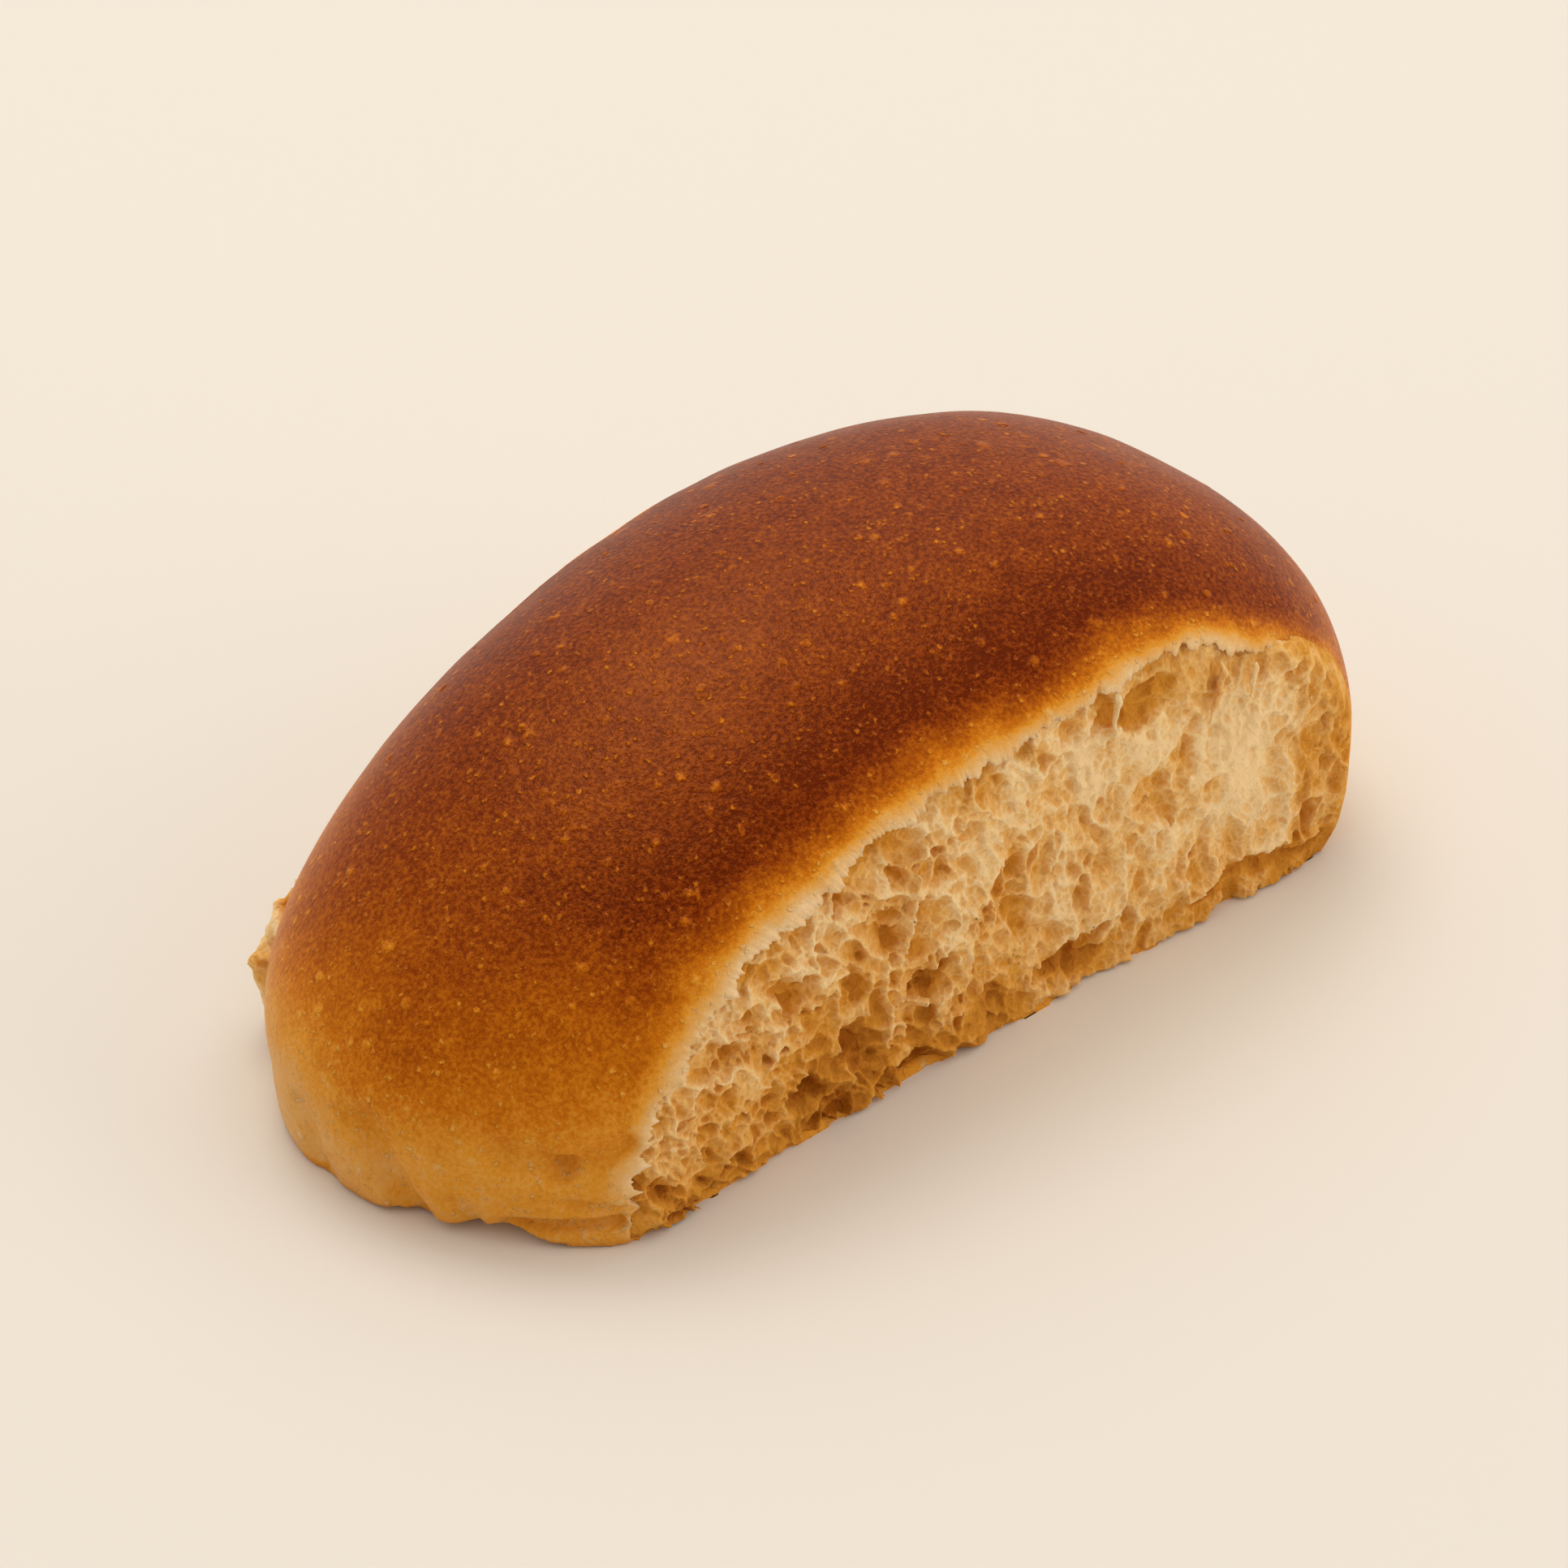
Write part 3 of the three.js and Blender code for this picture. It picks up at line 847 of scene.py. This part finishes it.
def browning_at(points, steps, shared):
    """How browned the crust is: pale at the lip, darkest just above the front tear, golden at the foot. The
    dark band is partly browning and partly painted shade, and a patch on the crown is paler as a painted
    sheen.
    """
    x, y, z = points.T
    rim = np.minimum(y + TEARS[FRONT], TEARS[BACK] - y)
    rim = rim + sample(shared["rim"] - shared["wave"], steps)
    height = z + sample(shared["height"], steps) - 5 * smooth_step(2, 22, -y) * smooth_step(30, 42, -x)
    reach = rim * np.interp(x, *RIM_STRETCH) * (1 + smooth_step(0, 10, y))
    browning = np.interp(reach, *RIM_BROWNING)
    far = smooth_step(15, 38, x)
    browning = np.maximum(browning, 0.17 * far)
    # A darker band on the front shoulder just above the tear: partly browning, partly painted shade where the
    # shoulder faces away from the light.
    shoulder_brown_and_shade = smooth_step(-14, -7, -reach) * smooth_step(-4, 4, -y) * (1 - 0.8 * far)
    low = np.interp(height, *HEIGHT_BROWNING) + 0.12 * shoulder_brown_and_shade
    # Paler towards the far end, and paler in a broad patch on the front of the crown, which is a painted
    # sheen.
    paler = 0.05 * far + 0.03 * hump(np.hypot((x + 21) / 20, (y + 4) / 15), 1)
    most = MOST_BROWNED - paler + 0.11 * shoulder_brown_and_shade * smooth_step(-50, -34, x)
    return np.minimum(np.minimum(browning, most), low)


def make_crust(material, axes, shared):
    """The browned crust: a skin over the crumb of each tear, and the solid middle of the roll."""
    points, faces, steps = largest_part(*surface_net(crust_field(axes, shared), axes))
    planes = [side * (TEARS[side] - CORE_DEPTH) for side in TEARS]
    points, faces, steps = cap_flat(points, faces, steps, planes)
    depth = -sample(np.maximum(shared["roll"], -axes[2][None, None, :]), steps)
    browning = browning_at(points, steps, shared) * (1 - smooth_step(0.2, 0.55, depth))
    browning = np.maximum(browning, BASE_BROWNING * smooth_step(-1.4, -0.7, -points[:, 2]))
    return piece_from("crust", points, faces, material, browning=browning)


def ragged_line(length, seed):
    """How far a torn edge stands out, at places along it: broad bits, smaller ones and fine teeth."""
    random = np.random.default_rng(seed)
    total = 0
    for width, depth in LIP_TEETH:
        knots = np.arange(0, length.max() + 2 * width, width)
        total = total + depth * np.interp(length, knots, random.uniform(-1, 1, len(knots)))
    return total


def on_crust(turn, y, roll, axes):
    """The crust's places at these turns round the lip's axis, each at its own distance across the roll."""
    away = np.arange(*LIP_RAY)
    ray = np.empty((len(turn), len(away), 3))
    ray[:, :, 0] = np.cos(turn)[:, None] * away
    ray[:, :, 1] = y[:, None]
    ray[:, :, 2] = LIP_AXIS_HEIGHT + np.sin(turn)[:, None] * away
    value = sample(roll, steps_of(ray.reshape(-1, 3), axes)).reshape(ray.shape[:2])
    last = np.argmax(value > 0, 1).clip(1)
    rows = np.arange(len(turn))
    inner, outer = value[rows, last - 1], value[rows, last]
    share = (-inner / (outer - inner)).clip(0, 1)[:, None]
    return ray[rows, last - 1] * (1 - share) + ray[rows, last] * share


def make_lip(name, material, axes, shared, side, seed):
    """The thin edge of skin along a tear: it follows the crust and stands out past the crumb, raggedly."""
    roll = shared["roll"]
    turn = np.radians(np.linspace(*LIP_TURNS, int(LIP_PLACES / COARSE)))
    rim = on_crust(turn, np.full(len(turn), side * TEARS[side]), roll, axes)
    along, up = rim[:, 0], rim[:, 2]
    length = np.concatenate([[0], np.cumsum(np.linalg.norm(np.diff(rim, axis=0), axis=1))])
    stand_out = LIP_REACH[side] + ragged_line(length, seed) - 1.5 * smooth_step(30, 42, along)
    stand_out = stand_out - 0.9 * smooth_step(-10, -4, -up) - 0.3 * smooth_step(5, 25, along)
    pale = 0.55 - 0.25 * smooth_step(0, 25, along)
    edge = TEARS[side] - sample(shared["wave"], steps_of(rim, axes))
    root_thickness, edge_thickness = LIP_THICKNESS
    outside, inside, browning = [], [], []
    for share in np.linspace(-0.15, 1, LIP_ROWS):
        skin = on_crust(turn, side * (edge - LIP_ROOT + share * (LIP_ROOT + stand_out)), roll, axes)
        slope = np.stack([sample(roll, steps_of(skin + shift, axes)) for shift in 0.3 * np.eye(3)], 1)
        slope = slope - sample(roll, steps_of(skin, axes))[:, None]
        normal = slope / np.linalg.norm(slope, axis=1)[:, None]
        droop = LIP_SEAT if share < 0 else LIP_DROOP * share**3 - LIP_PROUD
        thickness = root_thickness - (root_thickness - edge_thickness) * share
        outside.append(skin - droop * normal)
        inside.append(skin - (droop + thickness) * normal)
        browning.append(browning_at(skin, steps_of(skin, axes), shared) * (1 - pale * share**2))
    loop = np.stack(outside + inside[::-1])
    rows, count = loop.shape[:2]
    faces = []
    for row in range(rows):
        following = (row + 1) % rows
        first, second = row * count + np.arange(count - 1), following * count + np.arange(count - 1)
        faces.append(np.stack([first, second, second + 1, first + 1], 1))
    faces = np.concatenate(faces)
    ends = [(np.arange(rows) * count)[::-1], np.arange(rows) * count + count - 1]
    if side == BACK:
        faces = faces[:, ::-1]
        ends = [end[::-1] for end in ends]
    faces = faces.tolist() + [end.tolist() for end in ends]
    browning = np.concatenate(browning + browning[::-1])
    return piece_from(name, loop.reshape(-1, 3), faces, material, browning=browning)


def make_crumb(name, material, side, reach, step, seed):
    """A piece of torn crumb, from one place along X to another."""
    tear = TEARS[side]
    step = step * COARSE
    across = grid_axis(tear - CORE_DEPTH - 1.0, tear + 2.8, step)
    along = grid_axis(max(reach[0] - 1, CRUMB_ALONG[0]), min(reach[1] + 1, CRUMB_ALONG[1]), step)
    axes = [along, across if side == BACK else -across[::-1], grid_axis(*CRUMB_UP, step)]
    field, cell, roll = crumb_field(axes, side, reach, seed)
    points, faces, steps = largest_part(*surface_net(field, axes))
    points, faces, steps = cap_flat(points, faces, steps, [side * (tear - CORE_DEPTH - OVERLAP)])
    x, z = points[:, 0], points[:, 2]
    # Deeper cells are darker, a painted shade; the foot is darker too, and a band under the lip is paler.
    recess = sample(cell, steps) + 0.5 * smooth_step(-6, -1, -z)
    recess -= 0.5 * hump(sample(roll, steps) + 6, 4.5) * smooth_step(14, 22, z)
    if side == FRONT:
        recess += 0.95 * smooth_step(-13, -3, -z) * smooth_step(-10, 10, -x)
        recess += 0.8 * smooth_step(36, 45, x) - 0.6 * calm_at(x, z)
    else:
        recess -= 0.9 * hump(np.hypot((x - SCRAP["x"]) / 8, (z - SCRAP["z"]) / 9), 1)
    return piece_from(name, points, faces, material, recess=recess)


# Stage, camera and light, in metres


def make_stage():
    half = 2.0
    corners = [(-half, -half, 0), (half, -half, 0), (half, half, 0), (-half, half, 0)]
    floor_mesh = bpy.data.meshes.new("floor")
    floor_mesh.from_pydata(corners, [], [(0, 1, 2, 3)])
    floor_mesh.materials.append(pale_floor())
    floor = show(bpy.data.objects.new("floor", floor_mesh))


def aim(thing, place, target):
    """Puts a camera or lamp at a place and turns it to a target."""
    thing.location = place
    thing.rotation_euler = (Vector(target) - Vector(place)).to_track_quat("-Z", "Y").to_euler()


def make_camera():
    azimuth, elevation = math.radians(CAMERA_AZIMUTH), math.radians(CAMERA_ELEVATION)
    level = math.cos(elevation)
    back = np.array([math.sin(azimuth) * level, -math.cos(azimuth) * level, math.sin(elevation)])
    target = np.array(CAMERA_TARGET)
    camera = show(bpy.data.objects.new("camera", bpy.data.cameras.new("camera")))
    camera.data.sensor_width = SENSOR_WIDTH
    camera.data.lens = SENSOR_WIDTH / 2 / math.tan(math.radians(FIELD_OF_VIEW / 2))
    camera.data.clip_start = 0.01
    aim(camera, (target + back * CAMERA_DISTANCE) * MM, target * MM)
    bpy.context.scene.camera = camera


def make_light(name, direction, distance, size, power, tint):
    """A round lamp that shines on the roll from a direction."""
    light = bpy.data.lights.new(name, "AREA")
    light.shape = "DISK"
    light.size = size
    light.energy = power
    light.color = colour(tint)[:3]
    lamp = show(bpy.data.objects.new(name, light))
    aim(lamp, np.array(direction) / np.linalg.norm(direction) * distance, (0, 0, 0.02))
    return lamp


def make_surroundings():
    """Soft light from all round, stronger from above and behind, a window, a fill and a sheen."""
    world = bpy.data.worlds.new("studio")
    world.use_nodes = True
    tree = world.node_tree
    background = tree.nodes["Background"]
    background.inputs["Color"].default_value = colour("#FFF4E6")
    direction = add(tree, "ShaderNodeTexCoord").outputs["Generated"]
    dot = dict(operation="DOT_PRODUCT")
    toward = add(tree, "ShaderNodeVectorMath", dot, _0=direction, _1=(0.36, 0.34, 0.88)).outputs["Value"]
    strength = add(tree, "ShaderNodeMapRange", Value=toward, From_Min=-0.3, To_Min=0.38, To_Max=1.13)
    tree.links.new(strength.outputs[0], background.inputs["Strength"])
    bpy.context.scene.world = world
    make_light("window", (0.12, 0.4, 0.9), distance=1.0, size=0.55, power=2.1, tint="#FFF6EA")
    make_light("fill", (0.55, -0.78, 0.3), distance=1.2, size=1.0, power=3.2, tint="#FFF2E2")
    sheen = make_light("sheen", (0.1, 0.25, 0.96), distance=1.0, size=0.9, power=20.0, tint="#FFE9CC")
    sheen.visible_diffuse = False  # it only glints on the crust's grain
    bpy.context.scene.view_settings.view_transform = "Standard"


make_camera()
make_stage()
make_surroundings()
crust_material = browned_crust()
crumb_material = torn_crumb()
crust_axes = crust_grid()
crust_shared = crust_fields(crust_axes)
crust = make_crust(crust_material, crust_axes, crust_shared)
front_lip = make_lip("front_lip", crust_material, crust_axes, crust_shared, FRONT, seed=12)
back_lip = make_lip("back_lip", crust_material, crust_axes, crust_shared, BACK, seed=13)
near_reach = (-PAST_ENDS, FRONT_JOIN + JOIN_OVERLAP)
far_reach = (FRONT_JOIN - JOIN_OVERLAP, PAST_ENDS)
back_reach = (-PAST_ENDS, PAST_ENDS)
near_crumb = make_crumb("front_crumb_near", crumb_material, FRONT, near_reach, step=0.21, seed=41)
far_crumb = make_crumb("front_crumb_far", crumb_material, FRONT, far_reach, step=0.25, seed=41)
back_crumb = make_crumb("back_crumb", crumb_material, BACK, back_reach, step=0.3, seed=73)
blister_sizes = dict(Spacing=5.2 * MM, Size=0.62 * MM, Seed=3)
blisters = grown_on("blisters", crust, blister_group(crust_material), **blister_sizes)
crust_pieces = [crust, blisters, front_lip, back_lip]
crumb_pieces = [near_crumb, far_crumb, back_crumb]
for slot, pieces in (("crust", crust_pieces), ("crumb", crumb_pieces)):
    for piece in pieces:
        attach(piece, "root")
        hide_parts("bun")
